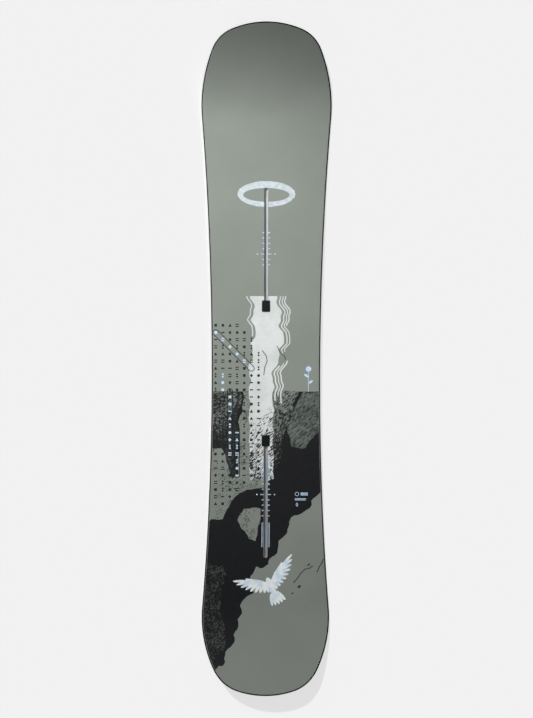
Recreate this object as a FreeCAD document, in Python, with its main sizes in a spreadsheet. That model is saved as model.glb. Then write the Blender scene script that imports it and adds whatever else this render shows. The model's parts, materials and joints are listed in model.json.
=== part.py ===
"""A directional snowboard, bare of bindings, as the laminate that it is.

Millimetres.  +Y points to the nose, +X to the toe side and +Z up.  The origin is
midway along the board, on its centre line, at the height of the two flat contact
zones that it rests on.  Every layer is a full-height prism of the board's outline,
set in from the edge, and cut between two levels of the board's side profile.
"""
import FreeCAD, Part
import math
import os
import Sketcher

SIZES = {
    # for shapes that are made both at full size and set in
    "no_inset": 0.0,
    # outline
    "board_length": 1550.0,
    "nose_width": 303.0,
    "waist_width": 253.0,
    "tail_width": 299.0,
    "nose_wide_place": 590.5,
    "waist_place": -31.0,
    "tail_wide_place": -600.8,
    "nose_tip_radius": 226.9,
    "nose_corner_radius": 79.2,
    "nose_flank_radius": 326.7,
    "tail_tip_radius": 228.0,
    "tail_corner_radius": 91.6,
    "tail_flank_radius": 262.1,
    # side profile
    "camber_height": 6.0,
    "camber_half": 350.0,
    "contact_inner": 500.0,
    "contact_outer": 560.0,
    "nose_lift": 48.0,
    "tail_lift": 45.0,
    "thick_middle": 9.6,
    "thick_tip": 4.4,
    "taper_start": 330.0,
    "taper_end": 700.0,
    # laminate, from the ground up
    "base_thick": 1.2,
    "bead_tall": 1.9,
    "bead_wide": 1.9,
    "flange_thick": 0.5,
    "flange_inset": 7.0,
    "base_laminate_top": 2.2,
    "core_cover": 1.3,
    "topsheet_thick": 0.5,
    "topsheet_inset": 3.2,
    "sidewall_wide": 8.0,
    "sidewall_nose_end": 600.0,
    "sidewall_tail_end": -610.0,
    "core_nose_end": 650.0,
    "core_tail_end": -660.0,
    "strip_wide": 24.5,
    # channels for the binding bolts
    "stance_place": -30.0,
    "channel_inner": 143.4,
    "channel_outer": 430.5,
    "track_wide": 30.0,
    "track_end_wall": 8.0,
    "channel_floor": 3.2,
    "nut_space_tall": 3.4,
    "nut_space_wide": 18.6,
    "nut_space_past_slot": 4.0,
    "slot_wide": 8.0,
    "slot_rim": 0.3,
    "plug_opening_long": 26.4,
    "plug_corner": 2.5,
    "plug_clearance": 0.2,
    "plug_lift_off_floor": 0.3,
}
SHEET_NAME = "Sizes"
STRIPS_PER_SIDE = 5
DECK_POINT_SPACING = 25.0
PAST_BOARD = 60.0
PRISM_BOTTOM = -20.0
PRISM_TALL = 130.0

doc = FreeCAD.newDocument("snowboard")
sheet = doc.addObject("Spreadsheet::Sheet", SHEET_NAME)
sub_parts = {}


def fill_sheet():
    """Writes each driving dimension beside its name, under an alias."""
    for row, (alias, value) in enumerate(SIZES.items(), start=1):
        sheet.set(f"A{row}", alias)
        sheet.set(f"B{row}", str(value))
        sheet.setAlias(f"B{row}", alias)
    doc.recompute()


def size(alias):
    """The value of one driving dimension, read back from the sheet."""
    return float(sheet.get(alias))


def bind(thing, **formulas):
    """Binds properties to formulas in which a bare alias means the sheet's cell."""
    for path, formula in formulas.items():
        thing.setExpression(path.replace("__", "."), cells(formula))


def cells(formula):
    """The formula with every alias written as a reference to the sheet."""
    words = []
    for word in formula.replace("(", " ( ").replace(")", " ) ").split():
        words.append(f"{SHEET_NAME}.{word}" if word in SIZES else word)
    return " ".join(words)


# ---------------------------------------------------------------- sketch helpers


def add_arc(sketch, centre, radius, start_degrees, end_degrees):
    """Adds an anticlockwise arc and gives its index."""
    middle = FreeCAD.Vector(centre[0], centre[1], 0)
    circle = Part.Circle(middle, FreeCAD.Vector(0, 0, 1), radius)
    arc = Part.ArcOfCircle(circle, math.radians(start_degrees), math.radians(end_degrees))
    return sketch.addGeometry(arc, False)


def add_line(sketch, start, end):
    """Adds a straight line and gives its index."""
    line = Part.LineSegment(FreeCAD.Vector(*start, 0), FreeCAD.Vector(*end, 0))
    return sketch.addGeometry(line, False)


def constrain(sketch, kind, *where, formula=None, value=0.0):
    """Adds a constraint, and binds its value where a formula is given."""
    if formula is None:
        return sketch.addConstraint(Sketcher.Constraint(kind, *where))
    index = sketch.addConstraint(Sketcher.Constraint(kind, *where, value))
    sketch.setExpression(f"Constraints[{index}]", cells(formula))
    return index


# ---------------------------------------------------------------- outline


def end_of_board(end):
    """Arc centres and meeting angles for the right half of the nose or the tail.

    The tip arc, the corner arc and the flank arc touch each other smoothly, and the
    flank arc touches the sidecut arc, which is level with the waist at its middle.
    """
    sign = 1.0 if end == "nose" else -1.0
    tip = size(f"{end}_tip_radius")
    corner = size(f"{end}_corner_radius")
    flank = size(f"{end}_flank_radius")
    half_wide = size(f"{end}_width") / 2
    half_waist = size("waist_width") / 2
    wide_place = size(f"{end}_wide_place")
    tip_centre = (0.0, sign * (size("board_length") / 2 - tip))
    flank_centre = (half_wide - flank, wide_place)
    corner_centre = outer_meeting(tip_centre, tip - corner, flank_centre, flank - corner)
    narrowing = half_wide - half_waist
    rise = abs(wide_place - size("waist_place"))
    reach = (narrowing**2 + rise**2) / (2 * narrowing)
    sidecut = reach - flank
    sidecut_centre = (half_waist + sidecut, size("waist_place"))
    return {
        "tip": (tip_centre, tip),
        "corner": (corner_centre, corner),
        "flank": (flank_centre, flank),
        "sidecut": (sidecut_centre, sidecut),
        "tip_to_corner": heading(tip_centre, corner_centre),
        "corner_to_flank": heading(flank_centre, corner_centre),
        "flank_to_sidecut": heading(flank_centre, sidecut_centre),
    }


def outer_meeting(first, first_radius, second, second_radius):
    """Where two circles cross, taking the crossing further to the right."""
    across = second[0] - first[0]
    along = second[1] - first[1]
    apart = math.hypot(across, along)
    near = (apart**2 + first_radius**2 - second_radius**2) / (2 * apart)
    aside = math.sqrt(first_radius**2 - near**2)
    foot = (first[0] + near * across / apart, first[1] + near * along / apart)
    turned = (-aside * along / apart, aside * across / apart)
    crossings = [(foot[0] + turned[0], foot[1] + turned[1])]
    crossings.append((foot[0] - turned[0], foot[1] - turned[1]))
    return max(crossings)


def heading(start, end):
    """The direction from one point to another, in degrees."""
    return math.degrees(math.atan2(end[1] - start[1], end[0] - start[0]))


def outline_arcs():
    """The outline as (kind, centre, radius, start, end), anticlockwise from the nose."""
    nose = end_of_board("nose")
    tail = end_of_board("tail")
    arcs = []

    def add(kind, placed, start, end):
        (across, along), radius = placed
        arcs.append((kind, (across, along), radius, start, end))

    def mirrored(kind, placed, start, end):
        (across, along), radius = placed
        arcs.append((kind, (-across, along), radius, 180 - end, 180 - start))

    add("nose_tip", nose["tip"], nose["tip_to_corner"], 180 - nose["tip_to_corner"])
    mirrored("nose_corner", nose["corner"], nose["corner_to_flank"], nose["tip_to_corner"])
    mirrored("nose_flank", nose["flank"], nose["flank_to_sidecut"], nose["corner_to_flank"])
    mirrored("nose_sidecut", nose["sidecut"], 180 + nose["flank_to_sidecut"], 180)
    mirrored("tail_sidecut", tail["sidecut"], 180, 180 + tail["flank_to_sidecut"])
    mirrored("tail_flank", tail["flank"], tail["corner_to_flank"], tail["flank_to_sidecut"])
    mirrored("tail_corner", tail["corner"], tail["tip_to_corner"], tail["corner_to_flank"])
    add("tail_tip", tail["tip"], 180 - tail["tip_to_corner"], 360 + tail["tip_to_corner"])
    add("tail_corner", tail["corner"], tail["tip_to_corner"], tail["corner_to_flank"])
    add("tail_flank", tail["flank"], tail["corner_to_flank"], tail["flank_to_sidecut"])
    add("tail_sidecut", tail["sidecut"], 180, 180 + tail["flank_to_sidecut"])
    add("nose_sidecut", nose["sidecut"], 180 + nose["flank_to_sidecut"], 180)
    add("nose_flank", nose["flank"], nose["flank_to_sidecut"], nose["corner_to_flank"])
    add("nose_corner", nose["corner"], nose["corner_to_flank"], nose["tip_to_corner"])
    return arcs


def draw_outline(name, inset):
    """The board's outline from above, set in all round: arcs, each tangent to the next."""
    sketch = doc.addObject("Sketcher::SketchObject", name)
    arcs = outline_arcs()
    for kind, centre, radius, start, end in arcs:
        outward = -1.0 if "sidecut" in kind else 1.0
        add_arc(sketch, centre, radius - outward * size(inset), start, end)
    for index, (kind, centre, radius, *_) in enumerate(arcs):
        hold_arc(sketch, index, kind, centre, radius, inset)
    for index, (kind, *_) in enumerate(arcs):
        after = (index + 1) % len(arcs)
        leaving = 1 if "sidecut" in kind else 2
        entering = 2 if "sidecut" in arcs[after][0] else 1
        constrain(sketch, "Tangent", index, leaving, after, entering)
    return sketch


def hold_arc(sketch, index, kind, centre, radius, inset):
    """Sizes and places one arc of the outline.  A sidecut's radius follows from the rest."""
    end, _, form = kind.partition("_")
    if form != "sidecut":
        formula = f"{end}_{form}_radius - {inset}"
        constrain(sketch, "Radius", index, formula=formula, value=radius - size(inset))
    if form == "tip":
        constrain(sketch, "PointOnObject", index, 3, -2)
        lift_point(sketch, index, 3, centre[1], f"board_length / 2 - {end}_tip_radius")
    if form == "flank":
        sign = "" if end == "nose" else "0 - "
        lift_point(sketch, index, 3, centre[1], f"{sign}{end}_wide_place")
        shift_point(sketch, index, 3, centre[0], f"{end}_flank_radius - {end}_width / 2")
    if form == "sidecut":
        lift_point(sketch, index, 3, centre[1], "0 - waist_place")
    if kind == "nose_sidecut":
        side = math.copysign(size("waist_width") / 2 - size(inset), centre[0])
        at_waist = 2 if centre[0] > 0 else 1
        shift_point(sketch, index, at_waist, side, f"waist_width / 2 - {inset}")


def lift_point(sketch, index, point, place, formula):
    """Holds a point's distance above the sketch's origin, or below it."""
    ends = (-1, 1, index, point) if place > 0 else (index, point, -1, 1)
    constrain(sketch, "DistanceY", *ends, formula=formula, value=abs(place))


def shift_point(sketch, index, point, place, formula):
    """Holds a point's distance right of the sketch's origin, or left of it."""
    ends = (-1, 1, index, point) if place > 0 else (index, point, -1, 1)
    constrain(sketch, "DistanceX", *ends, formula=formula, value=abs(place))


def prism(name, inset):
    """The outline, set in by a named distance, as a solid far taller than the board."""
    sketch = draw_outline(f"{name}_outline", inset)
    solid = doc.addObject("Part::Extrusion", name)
    solid.Base = sketch
    solid.DirMode = "Custom"
    solid.Dir = FreeCAD.Vector(0, 0, 1)
    solid.Solid = True
    solid.LengthFwd = PRISM_TALL
    solid.Placement.Base = FreeCAD.Vector(0, 0, PRISM_BOTTOM)
    return solid


# ---------------------------------------------------------------- side profile


def upright(sketch):
    """Turns a sketch so that its first axis is +Y and its second is +Z."""
    sketch.Placement.Rotation = FreeCAD.Rotation(FreeCAD.Vector(1, 1, 1), 120)


def camber_angle():
    """The slope where the camber's arch turns into the arc down to the contact zone."""
    return 2 * math.atan(size("camber_height") / size("contact_inner"))


def draw_ground_profile():
    """What lies under the board: camber, two flat contact zones and two kicked ends."""
    sketch = doc.addObject("Sketcher::SketchObject", "ground_profile")
    upright(sketch)
    slope = math.degrees(camber_angle())
    arch = size("camber_half") / math.sin(camber_angle())
    landing = (size("contact_inner") - size("camber_half")) / math.sin(camber_angle())
    flat_in = size("contact_inner")
    flat_out = size("contact_outer")
    run = size("board_length") / 2 - flat_out
    reach = size("board_length") / 2 + PAST_BOARD
    kick = {end: kick_radius(end) for end in ("nose", "tail")}
    turn = {e: math.degrees(math.asin((reach - flat_out) / kick[e])) for e in kick}
    height = {e: kick[e] * (1 - math.cos(math.radians(turn[e]))) for e in kick}

    add_arc(sketch, (-flat_out, kick["tail"]), kick["tail"], 270 - turn["tail"], 270)
    add_line(sketch, (-flat_out, 0), (-flat_in, 0))
    add_arc(sketch, (-flat_in, landing), landing, 270, 270 + slope)
    add_arc(sketch, (0, size("camber_height") - arch), arch, 90 - slope, 90 + slope)
    add_arc(sketch, (flat_in, landing), landing, 270 - slope, 270)
    add_line(sketch, (flat_in, 0), (flat_out, 0))
    add_arc(sketch, (flat_out, kick["nose"]), kick["nose"], 270, 270 + turn["nose"])
    add_line(sketch, (reach, height["nose"]), (reach, -PAST_BOARD))
    add_line(sketch, (reach, -PAST_BOARD), (-reach, -PAST_BOARD))
    add_line(sketch, (-reach, -PAST_BOARD), (-reach, height["tail"]))

    tangents = [(0, 2, 1, 1), (1, 2, 2, 1), (2, 2, 3, 2), (3, 1, 4, 1), (4, 2, 5, 1)]
    tangents.append((5, 2, 6, 1))
    for joint in tangents:
        constrain(sketch, "Tangent", *joint)
    for joint in [(6, 2, 7, 1), (7, 2, 8, 1), (8, 2, 9, 1), (9, 2, 0, 1)]:
        constrain(sketch, "Coincident", *joint)
    constrain(sketch, "PointOnObject", 1, 1, -1)
    constrain(sketch, "PointOnObject", 5, 1, -1)
    constrain(sketch, "Horizontal", 1)
    constrain(sketch, "Horizontal", 5)
    constrain(sketch, "Horizontal", 8)
    constrain(sketch, "Vertical", 7)
    constrain(sketch, "Vertical", 9)
    constrain(sketch, "PointOnObject", 3, 3, -2)
    shift_point(sketch, 1, 2, -flat_in, "contact_inner")
    shift_point(sketch, 5, 1, flat_in, "contact_inner")
    shift_point(sketch, 1, 1, -flat_out, "contact_outer")
    shift_point(sketch, 5, 2, flat_out, "contact_outer")
    shift_point(sketch, 3, 1, size("camber_half"), "camber_half")
    for end, index in (("tail", 0), ("nose", 6)):
        rise = f"{end}_lift"
        formula = f"( ( board_length / 2 - contact_outer ) ^ 2 + {rise} ^ 2 ) / ( 2 * {rise} )"
        constrain(sketch, "Radius", index, formula=formula, value=kick[end])
    formula = (
        "camber_half * ( contact_inner ^ 2 + camber_height ^ 2 )"
        " / ( 2 * camber_height * contact_inner )"
    )
    constrain(sketch, "Radius", 3, formula=formula, value=arch)
    shift_point(sketch, 7, 1, reach, f"board_length / 2 + {PAST_BOARD}")
    shift_point(sketch, 9, 1, -reach, f"board_length / 2 + {PAST_BOARD}")
    lift_point(sketch, 8, 1, -PAST_BOARD, f"{PAST_BOARD}")
    return sketch


def kick_radius(end):
    """The radius of a kicked end, from how far it runs and how high it lifts the tip."""
    run = size("board_length") / 2 - size("contact_outer")
    lift = size(f"{end}_lift")
    return (run**2 + lift**2) / (2 * lift)


def ground_height(place):
    """The height of the base at a place along the board."""
    far = abs(place)
    slope = camber_angle()
    if far < size("camber_half"):
        arch = size("camber_half") / math.sin(slope)
        return size("camber_height") - arch + math.sqrt(arch**2 - far**2)
    if far < size("contact_inner"):
        landing = (size("contact_inner") - size("camber_half")) / math.sin(slope)
        return landing - math.sqrt(landing**2 - (size("contact_inner") - far) ** 2)
    if far < size("contact_outer"):
        return 0.0
    kick = kick_radius("nose" if place > 0 else "tail")
    return kick - math.sqrt(kick**2 - (far - size("contact_outer")) ** 2)


def board_thickness(place):
    """Full between the feet, and tapering smoothly to the tips."""
    far = abs(place - size("stance_place"))
    share = (far - size("taper_start")) / (size("taper_end") - size("taper_start"))
    share = min(max(share, 0.0), 1.0)
    eased = share**2 * (3 - 2 * share)
    return size("thick_middle") - (size("thick_middle") - size("thick_tip")) * eased


def draw_deck_profile():
    """What lies under the deck: the base's curve raised by the board's own thickness."""
    reach = size("board_length") / 2 + PAST_BOARD
    count = 2 * round(reach / DECK_POINT_SPACING)
    places = [-reach + 2 * reach * step / count for step in range(count + 1)]
    points = [
        FreeCAD.Vector(0, place, ground_height(place) + board_thickness(place))
        for place in places
    ]
    curve = Part.BSplineCurve()
    curve.interpolate(points)
    corners = [
        points[-1],
        FreeCAD.Vector(0, reach, -PAST_BOARD),
        FreeCAD.Vector(0, -reach, -PAST_BOARD),
        points[0],
    ]
    sides = [Part.LineSegment(*pair).toShape() for pair in zip(corners, corners[1:])]
    profile = doc.addObject("Part::Feature", "deck_profile")
    profile.Shape = Part.Wire([curve.toShape(), *sides])
    return profile


# ---------------------------------------------------------------- solids to cut with


def below(name, profile, lift):
    """Everything under a side profile that is lifted by a formula."""
    solid = doc.addObject("Part::Extrusion", name)
    solid.Base = profile
    solid.DirMode = "Custom"
    solid.Dir = FreeCAD.Vector(1, 0, 0)
    solid.Solid = True
    solid.Symmetric = True
    bind(solid, LengthFwd="nose_width + tail_width", Placement__Base__z=lift)
    return solid


def common(name, first, second):
    """The space that two solids share."""
    shared = doc.addObject("Part::Common", name)
    shared.Base = first
    shared.Tool = second
    return shared


def cut(name, first, *others):
    """The first solid with the others taken away."""
    for index, other in enumerate(others):
        left = doc.addObject("Part::Cut", f"{name}_{index}" if index else name)
        left.Base = first
        left.Tool = other
        first = left
    return first


def joined(name, *solids):
    """Several touching solids made one."""
    whole = doc.addObject("Part::MultiFuse", name)
    whole.Shapes = list(solids)
    whole.Refine = True
    return whole


def block(name, across, along):
    """A tall box between two formulas across the board and two along it."""
    box = doc.addObject("Part::Box", name)
    box.Height = PRISM_TALL
    box.Placement.Base = FreeCAD.Vector(0, 0, PRISM_BOTTOM)
    bind(box, Length=f"( {across[1]} ) - ( {across[0]} )")
    bind(box, Width=f"( {along[1]} ) - ( {along[0]} )")
    bind(box, Placement__Base__x=across[0], Placement__Base__y=along[0])
    return box


def sub_part(label, shape_of):
    """Names a finished sub-part.  The name is that of its file."""
    shape_of.Label = label
    sub_parts[label] = shape_of


fill_sheet()

WHOLE_WIDTH = ("0 - nose_width", "nose_width")
WHOLE_LENGTH = ("0 - board_length", "board_length")
SIDES = {"toe": ("0", "nose_width"), "heel": ("0 - nose_width", "0")}

outline = prism("outline_prism", "no_inset")
inside_bead = prism("inside_bead_prism", "bead_wide")
inside_flange = prism("inside_flange_prism", "flange_inset")
inside_wall = prism("inside_wall_prism", "sidewall_wide")
deck_edge = prism("deck_edge_prism", "topsheet_inset")
half = {side: block(f"{side}_half", SIDES[side], WHOLE_LENGTH) for side in SIDES}

ground = draw_ground_profile()
deck = draw_deck_profile()
under_base = below("under_base", ground, "0")
under_flange = below("under_flange", ground, "base_thick")
under_damper = below("under_damper", ground, "base_thick + flange_thick")
under_bead_top = below("under_bead_top", ground, "bead_tall")
under_core = below("under_core", ground, "base_laminate_top")
under_channel_floor = below("under_channel_floor", ground, "channel_floor")
under_lips = below("under_lips", ground, "channel_floor + nut_space_tall")
under_deck = below("under_deck", deck, "0")
under_topsheet = below("under_topsheet", deck, "0 - topsheet_thick")
under_cover = below("under_cover", deck, "0 - core_cover")

# ---------------------------------------------------------------- base and edges


def base_sheet():
    """The running base: a plastic sheet that ends at the steel edges."""
    sheet_level = cut("base_level", under_flange, under_base)
    sub_part("base_sheet", common("base_sheet_solid", inside_bead, sheet_level))


def steel_edges():
    """Steel round each side, with a thin flange held in the laminate.

    A strip of rubber lies on each flange and takes up the flutter of the edge.
    """
    bead_ring = cut("bead_ring", outline, inside_bead)
    flange_ring = cut("flange_ring", inside_bead, inside_flange)
    bead = common("bead", bead_ring, cut("bead_level", under_bead_top, under_base))
    flange_level = cut("flange_level", under_damper, under_flange)
    flange = common("flange", flange_ring, flange_level)
    edge_ring = joined("edge_ring", bead, flange)
    damper_level = cut("damper_level", under_bead_top, under_damper)
    damper_ring = common("damper_ring", flange_ring, damper_level)
    for side in SIDES:
        sub_part(f"{side}_edge", common(f"{side}_edge_solid", edge_ring, half[side]))
        damper = common(f"{side}_damper_solid", damper_ring, half[side])
        sub_part(f"{side}_edge_damper", damper)


def base_glass():
    """The lower glass laminate, stepped round its rim to sit on the edges."""
    over_base = cut("over_base_level", under_bead_top, under_flange)
    over_edges = cut("over_edges_level", under_core, under_bead_top)
    plug = common("base_glass_plug", inside_flange, over_base)
    plate = common("base_glass_plate", outline, over_edges)
    sub_part("base_glass", joined("base_glass_solid", plug, plate))


# ---------------------------------------------------------------- core and walls


def core_and_walls():
    """Wood strips side by side, sidewalls along them and a spacer at each tip."""
    level = cut("core_level", under_cover, under_core)
    plank = common("plank", outline, level)
    core = common("core", inside_wall, level)
    wall_ring = cut("wall_ring", plank, inside_wall)
    wall_length = ("sidewall_tail_end", "sidewall_nose_end")
    for side in SIDES:
        reach = block(f"{side}_wall_reach", SIDES[side], wall_length)
        wall = common(f"{side}_sidewall_solid", wall_ring, reach)
        sub_part(f"{side}_sidewall", wall)
    ends = {
        "nose": (("sidewall_nose_end", "board_length"), ("0", "core_nose_end")),
        "tail": (("0 - board_length", "sidewall_tail_end"), ("core_tail_end", "0")),
    }
    for end, (beyond_walls, with_core) in ends.items():
        tip = block(f"{end}_tip_reach", WHOLE_WIDTH, beyond_walls)
        core_reach = block(f"{end}_core_reach", WHOLE_WIDTH, with_core)
        core_end = common(f"{end}_core_end", inside_wall, core_reach)
        spacer = cut(f"{end}_spacer_solid", common(f"{end}_tip", plank, tip), core_end)
        sub_part(f"{end}_spacer", spacer)
    core_strips(core)


def core_strips(core):
    """Five strips to each side, and a centre strip that the channels interrupt."""
    core_length = ("core_tail_end", "core_nose_end")
    for number in range(1, STRIPS_PER_SIDE + 1):
        near = f"track_wide / 2 + {number - 1} * strip_wide"
        far = f"track_wide / 2 + {number} * strip_wide"
        if number == STRIPS_PER_SIDE:
            far = "nose_width"
        spans = {"toe": (near, far), "heel": (f"0 - ( {far} )", f"0 - ( {near} )")}
        for side, across in spans.items():
            reach = block(f"{side}_strip_reach_{number}", across, core_length)
            strip = common(f"{side}_strip_solid_{number}", core, reach)
            sub_part(f"{side}_core_strip_{number}", strip)
    across = ("0 - track_wide / 2", "track_wide / 2")
    stretches = {
        "nose": (track_end("front", "outer"), "core_nose_end"),
        "middle": (track_end("rear", "inner"), track_end("front", "inner")),
        "tail": ("core_tail_end", track_end("rear", "outer")),
    }
    for stretch, along in stretches.items():
        reach = block(f"centre_{stretch}_reach", across, along)
        strip = common(f"centre_{stretch}_solid", core, reach)
        sub_part(f"core_centre_{stretch}", strip)


# ---------------------------------------------------------------- channels

OUTWARD = {"front": "+", "rear": "-"}
INWARD = {"front": "-", "rear": "+"}


def from_stance(channel, distance):
    """A place along the board, so far out from the stance centre towards one foot."""
    return f"stance_place {OUTWARD[channel]} ( {distance} )"


def track_end(channel, end):
    """Where a track ends: past the space in it by the thickness of its end wall."""
    past = {"inner": "channel_inner - track_end_wall", "outer": "channel_outer + track_end_wall"}
    return from_stance(channel, past[end])


def span(channel, near, far):
    """Two places along the board in rising order, from distances out to one foot."""
    places = (from_stance(channel, near), from_stance(channel, far))
    return places if channel == "front" else places[::-1]


def slot_prism(channel, name, rim):
    """The bolt slot seen from above, with a round outer end, and a rim all round."""
    half_wide = f"slot_wide / 2 + {rim}"
    end_centre = "channel_outer - slot_wide / 2"
    plug_middle = "channel_inner + plug_opening_long / 2"
    along = span(channel, plug_middle, end_centre)
    straight = block(f"{name}_straight", (f"0 - ( {half_wide} )", half_wide), along)
    round_end = doc.addObject("Part::Cylinder", f"{name}_round_end")
    round_end.Height = PRISM_TALL
    round_end.Placement.Base = FreeCAD.Vector(0, 0, PRISM_BOTTOM)
    place = from_stance(channel, end_centre)
    bind(round_end, Radius=half_wide, Placement__Base__y=place)
    return joined(name, straight, round_end)


def rounded_prism(channel, name, gap):
    """The plug's opening seen from above, made smaller all round by a gap."""
    corner = f"plug_corner - {gap}"
    half_wide = "( nut_space_wide / 2 - plug_corner )"
    half_long = "( plug_opening_long / 2 - plug_corner )"
    middle = from_stance(channel, "channel_inner + plug_opening_long / 2")
    wide = block(
        f"{name}_wide",
        (f"0 - {half_wide} - ( {corner} )", f"{half_wide} + ( {corner} )"),
        (f"{middle} - {half_long}", f"{middle} + {half_long}"),
    )
    long = block(
        f"{name}_long",
        (f"0 - {half_wide}", half_wide),
        (f"{middle} - {half_long} - ( {corner} )", f"{middle} + {half_long} + ( {corner} )"),
    )
    rounds = []
    for across in "-+":
        for along in "-+":
            post = doc.addObject("Part::Cylinder", f"{name}_corner_{len(rounds)}")
            post.Height = PRISM_TALL
            post.Placement.Base = FreeCAD.Vector(0, 0, PRISM_BOTTOM)
            bind(post, Radius=corner)
            bind(post, Placement__Base__x=f"0 {across} {half_wide}")
            bind(post, Placement__Base__y=f"{middle} {along} {half_long}")
            rounds.append(post)
    return joined(name, wide, long, *rounds)


def channel(name):
    """One channel: a track for sliding nuts, open along a slot, and the plug in it.

    Nuts go in at the wide opening at the inner end, which the plug closes.
    """
    half_track = "track_wide / 2"
    ends = (track_end(name, "inner"), track_end(name, "outer"))
    along = ends if name == "front" else ends[::-1]
    footprint = block(f"{name}_track_footprint", (f"0 - {half_track}", half_track), along)
    level = cut(f"{name}_track_level", under_topsheet, under_core)
    blank = common(f"{name}_track_blank", footprint, level)
    nut_along = span(name, "channel_inner", "channel_outer + nut_space_past_slot")
    half_nut = "nut_space_wide / 2"
    nut_reach = block(f"{name}_nut_reach", (f"0 - {half_nut}", half_nut), nut_along)
    nut_level = cut(f"{name}_nut_level", under_lips, under_channel_floor)
    nut_space = common(f"{name}_nut_space", nut_reach, nut_level)
    slot = slot_prism(name, f"{name}_slot", "no_inset")
    opening = rounded_prism(name, f"{name}_opening", "no_inset")
    ways_in = joined(f"{name}_ways_in", slot, opening)
    open_above = cut(f"{name}_open_above", ways_in, under_channel_floor)
    track = cut(f"{name}_track_solid", blank, nut_space, open_above)
    sub_part(f"{name}_channel_track", track)

    plug_prism = rounded_prism(name, f"{name}_plug_prism", "plug_clearance")
    floor = below(f"{name}_plug_floor", ground, "channel_floor + plug_lift_off_floor")
    plug_level = cut(f"{name}_plug_level", under_deck, floor)
    plug = common(f"{name}_plug_solid", plug_prism, plug_level)
    sub_part(f"{name}_channel_plug", plug)
    rim = slot_prism(name, f"{name}_slot_rim", "slot_rim")
    return footprint, joined(f"{name}_deck_opening", rim, opening)


# ---------------------------------------------------------------- deck


def deck_sheets(footprints, openings):
    """The upper glass laminate round the tracks, and the topsheet over everything."""
    glass_level = cut("top_glass_level", under_topsheet, under_cover)
    glass = common("top_glass_blank", deck_edge, glass_level)
    sub_part("top_glass", cut("top_glass_solid", glass, *footprints))
    topsheet_level = cut("topsheet_level", under_deck, under_topsheet)
    topsheet = common("topsheet_blank", deck_edge, topsheet_level)
    sub_part("topsheet", cut("topsheet_solid", topsheet, *openings))


def check_document():
    """Stops if any object failed or any sub-part isn't one sound solid."""
    for thing in doc.Objects:
        failed = {"Invalid", "Error"} & set(thing.State)
        if failed:
            raise RuntimeError(f"{thing.Name} is {thing.State}")
    for label, thing in sub_parts.items():
        shape = thing.Shape
        if shape.isNull() or not shape.isValid() or len(shape.Solids) != 1:
            raise RuntimeError(f"{label} isn't one sound solid")


def write_parts():
    """Writes each sub-part to a file of its own."""
    os.makedirs("parts", exist_ok=True)
    for label, thing in sub_parts.items():
        thing.Shape.exportStep(f"parts/{label}.step")
        box = thing.Shape.BoundBox
        print(f"{label}: {thing.Shape.Volume / 1000:.1f} cm3, top {box.ZMax:.1f} mm")


base_sheet()
steel_edges()
base_glass()
core_and_walls()
cut_outs = [channel(name) for name in OUTWARD]
deck_sheets([pair[0] for pair in cut_outs], [pair[1] for pair in cut_outs])
doc.recompute()
check_document()
write_parts()
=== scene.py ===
"""A bare directional snowboard, seen from above on a pale studio floor.

The CAD frame gives every layer its place.  This script adds what is seen: the printed
topsheet with its rounded rim, slanted sidewalls and tips, moulded plugs, and a
material for every layer.  Plan shapes are worked out in millimetres, as on the CAD
model: +Y to the nose, +X to the toe side.
"""
import json
import math
import random

import bmesh
import bpy
from mathutils import Matrix, Vector
from mathutils.geometry import delaunay_2d_cdt


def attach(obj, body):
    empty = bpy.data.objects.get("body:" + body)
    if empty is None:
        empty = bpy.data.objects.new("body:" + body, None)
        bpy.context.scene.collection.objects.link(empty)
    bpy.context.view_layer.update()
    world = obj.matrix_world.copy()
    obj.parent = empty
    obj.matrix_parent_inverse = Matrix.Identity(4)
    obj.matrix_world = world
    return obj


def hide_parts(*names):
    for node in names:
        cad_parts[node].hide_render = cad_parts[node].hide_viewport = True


METRE = 0.001
TINY = 1e-6
WHITE = (1.0, 1.0, 1.0, 1.0)

# The board's driving dimensions, in millimetres.
LENGTH = 1550.0
WAIST_WIDTH = 253.0
WAIST_PLACE = -31.0
ENDS = {
    "nose": {"sign": 1, "width": 303.0, "wide_place": 590.5, "tip": 226.9, "corner": 79.2,
             "flank": 326.7, "lift": 48.0},
    "tail": {"sign": -1, "width": 299.0, "wide_place": -600.8, "tip": 228.0, "corner": 91.6,
             "flank": 262.1, "lift": 45.0},
}
CAMBER_HEIGHT = 6.0
CAMBER_HALF = 350.0
CONTACT_INNER = 500.0
CONTACT_OUTER = 560.0
THICK_MIDDLE = 9.6
THICK_TIP = 4.4
TAPER_START = 330.0
TAPER_END = 700.0
STANCE_PLACE = -30.0
TOPSHEET_THICK = 0.5
TOPSHEET_INSET = 3.2
CORE_COVER = 1.3
BASE_LAMINATE_TOP = 2.2
SIDEWALL_WIDE = 8.0
SIDEWALL_NOSE_END = 600.0
SIDEWALL_TAIL_END = -610.0
CORE_NOSE_END = 650.0
CORE_TAIL_END = -660.0
CHANNEL_INNER = 143.4
CHANNEL_OUTER = 430.5
CHANNEL_FLOOR = 3.2
SLOT_HALF = 4.0
PLUG_OPENING_LONG = 26.4
PLUG_OPENING_WIDE = 18.6
PLUG_CORNER = 2.5
PLUG_CLEARANCE = 0.2
PLUG_OFF_FLOOR = 0.3
CHANNELS = {"front": 1, "rear": -1}
SIDES = {"toe": 1, "heel": -1}

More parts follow.
